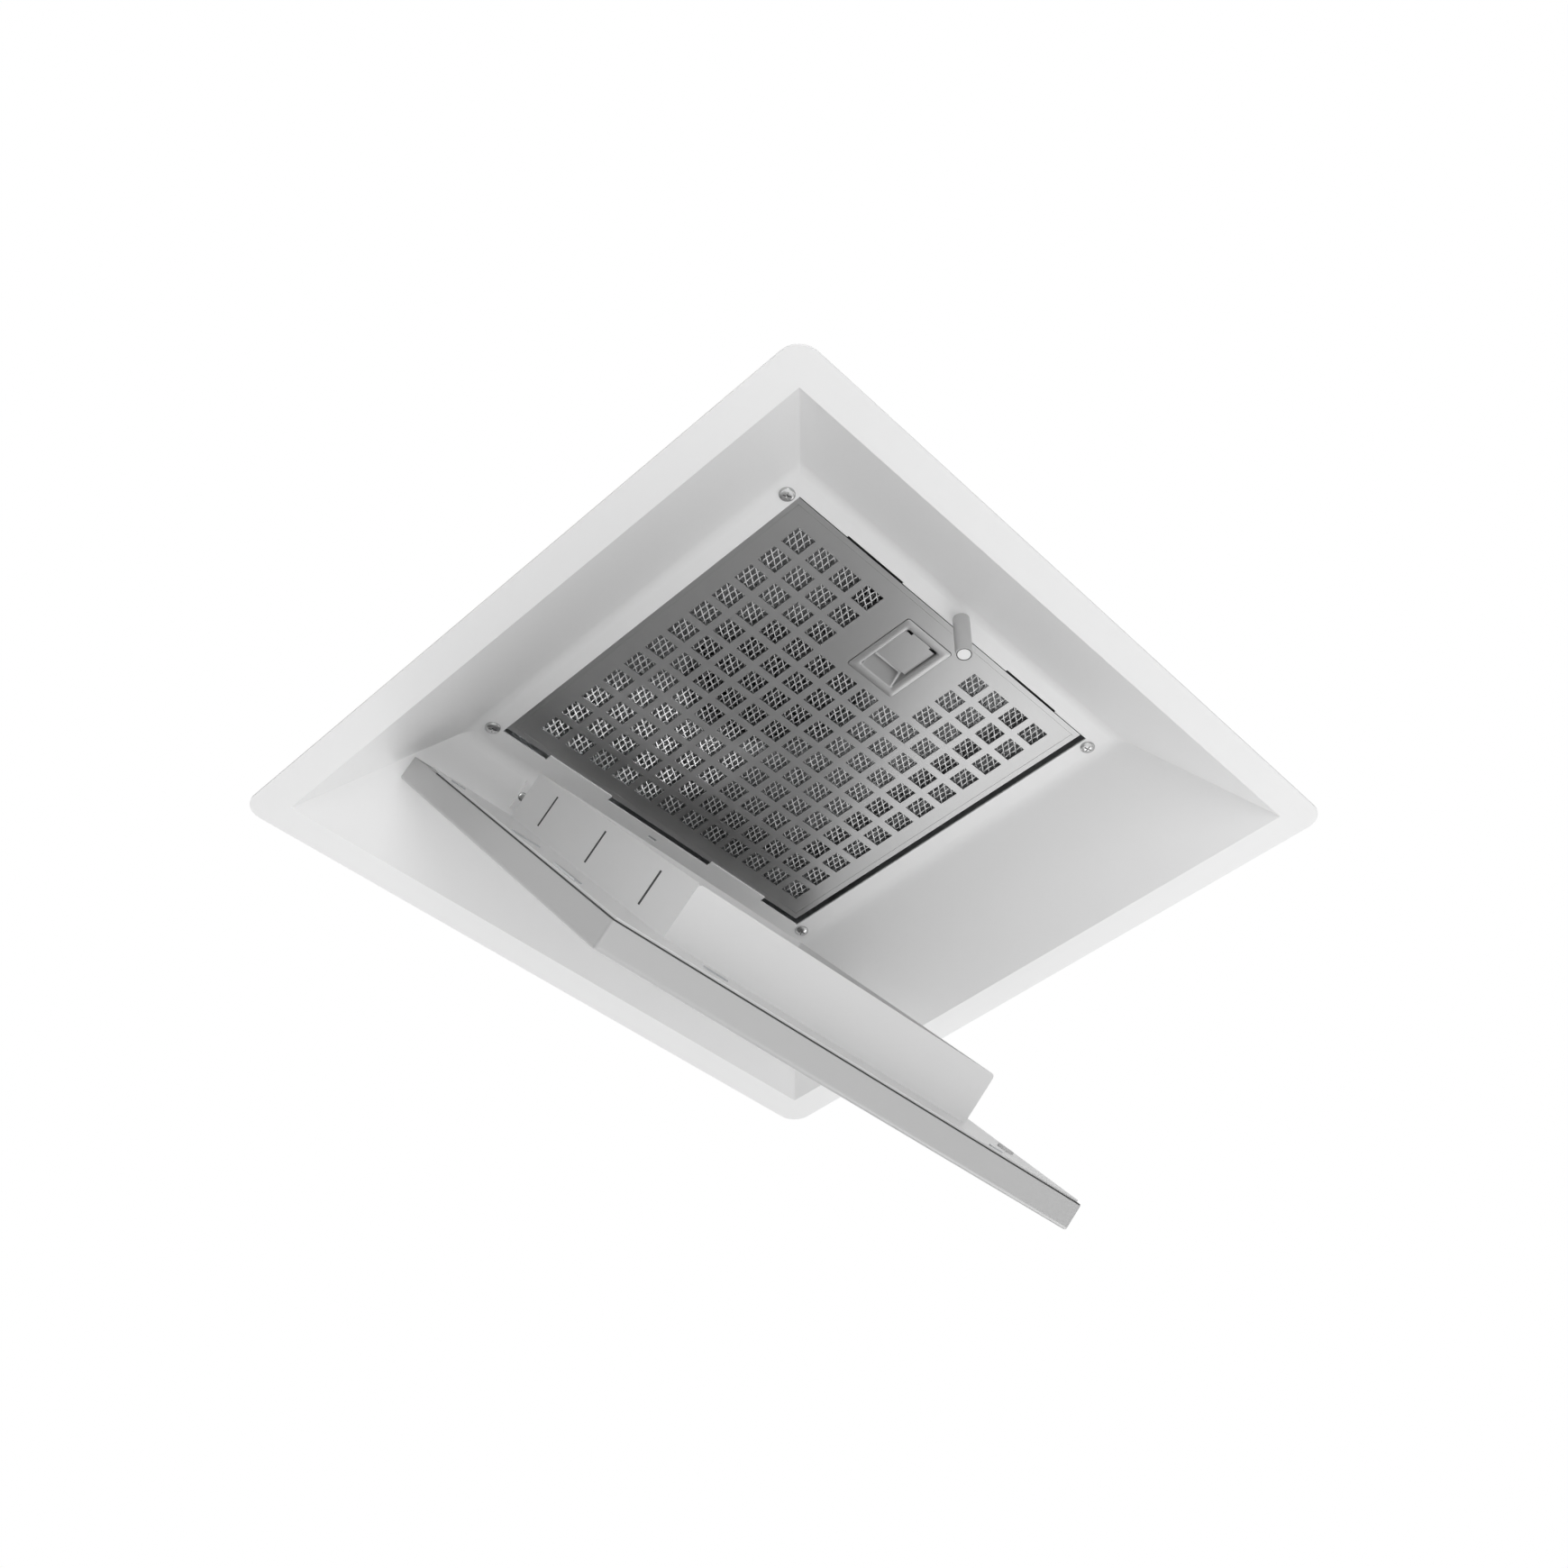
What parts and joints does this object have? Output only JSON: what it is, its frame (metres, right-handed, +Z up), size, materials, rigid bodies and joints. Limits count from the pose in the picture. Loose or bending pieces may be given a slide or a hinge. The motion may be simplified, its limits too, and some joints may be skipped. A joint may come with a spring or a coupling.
{
  "type": "ceiling range hood",
  "caption": "Square ceiling hood: flared recess with a perforated filter, a drop-down suction door with an inner collar, and a blower housing above with a round side duct.",
  "frame": {"origin": "centre of the rim's upper face, which lies on the ceiling plane", "axes": "+Z up into the ceiling void, +X from the door's hinge to its free edge, Y along the hinge"},
  "size_m": [0.6, 0.6, 0.5891],
  "materials": {
    "shell_paint": "satin white powder coat",
    "inner_steel": "smooth stainless sheet",
    "filter_steel": "fine brushed stainless",
    "filter_mesh": "expanded mesh, raw",
    "galvanised": "zinc coated sheet",
    "fastener": "bright zinc",
    "dark_metal": "dark grey paint",
    "post_grey": "mid grey moulding",
    "magnet": "plated disc",
    "rubber": "matt",
    "white_plastic": "moulded",
    "black_plastic": "moulded",
    "fan_aluminium": "satin"
  },
  "bodies": {
    "hood": {"canopy": "shell_paint", "panel_screws": "fastener", "magnet_post": "post_grey", "post_magnet": "magnet", "post_screw": "fastener", "hinge_brackets": "galvanised", "bracket_rivets": "fastener", "filter_face": "filter_steel", "filter_mesh": "filter_mesh", "filter_frame": "filter_steel", "handle_cup": "filter_steel", "housing_ends": "galvanised", "housing_sides": "galvanised", "housing_cover": "galvanised", "cover_screws": "fastener", "blower_deck": "galvanised", "deck_screws": "fastener", "volute_shell": "galvanised", "volute_cover": "galvanised", "volute_screws": "fastener", "inlet_ring": "galvanised", "inlet_screws": "fastener", "motor_body": "dark_metal", "motor_bracket": "galvanised", "motor_mounts": "rubber", "motor_screws": "fastener", "spigot": "galvanised", "spigot_rivets": "fastener", "flap_spindle": "fastener", "terminal_box": "white_plastic", "terminal_lid": "white_plastic", "terminal_block": "white_plastic", "cable_gland": "black_plastic", "gland_nut": "black_plastic", "capacitor": "white_plastic", "motor_lead": "rubber", "hanger_brackets": "galvanised", "hanger_bolts": "fastener"},
    "door": {"door_pan": "shell_paint", "door_back_plate": "inner_steel", "door_collar": "inner_steel", "door_clips": "galvanised", "collar_rivets": "fastener", "door_buffer": "post_grey", "door_ears": "galvanised", "hinge_pins": "fastener"},
    "impeller": {"impeller": "fan_aluminium", "fan_shaft": "fastener"},
    "flap_left": {"flap_left": "fan_aluminium", "flap_spring_left": "fastener"},
    "flap_right": {"flap_right": "fan_aluminium", "flap_spring_right": "fastener"},
    "latch": {"latch_tongue": "filter_steel", "latch_spring": "fastener"}
  },
  "joints": [
    {"name": "door_hinge", "type": "hinge", "parent": "hood", "child": "door", "pos_m": [-0.2076, 0, 0.031], "axis": [0, 1, 0], "range_deg": [-50.3, 39.7]},
    {"name": "impeller_spin", "type": "hinge", "parent": "hood", "child": "impeller", "pos_m": [0, -0.03, 0.2], "axis": [0, 0, 1], "continuous": true},
    {"name": "flap_left_turn", "type": "hinge", "parent": "hood", "child": "flap_left", "pos_m": [-0.184, 0.093, 0.189], "axis": [0, 0, 1], "range_deg": [0, 75], "stiffness_Nm_per_rad": 0.01},
    {"name": "flap_right_turn", "type": "hinge", "parent": "hood", "child": "flap_right", "pos_m": [-0.184, 0.093, 0.189], "axis": [0, 0, -1], "range_deg": [0, 75], "stiffness_Nm_per_rad": 0.01},
    {"name": "latch_slide", "type": "slide", "parent": "hood", "child": "latch", "axis": [-1, 0, 0], "range_m": [0, 0.006], "stiffness_N_per_m": 300, "springref_m": -0.004}
  ]
}
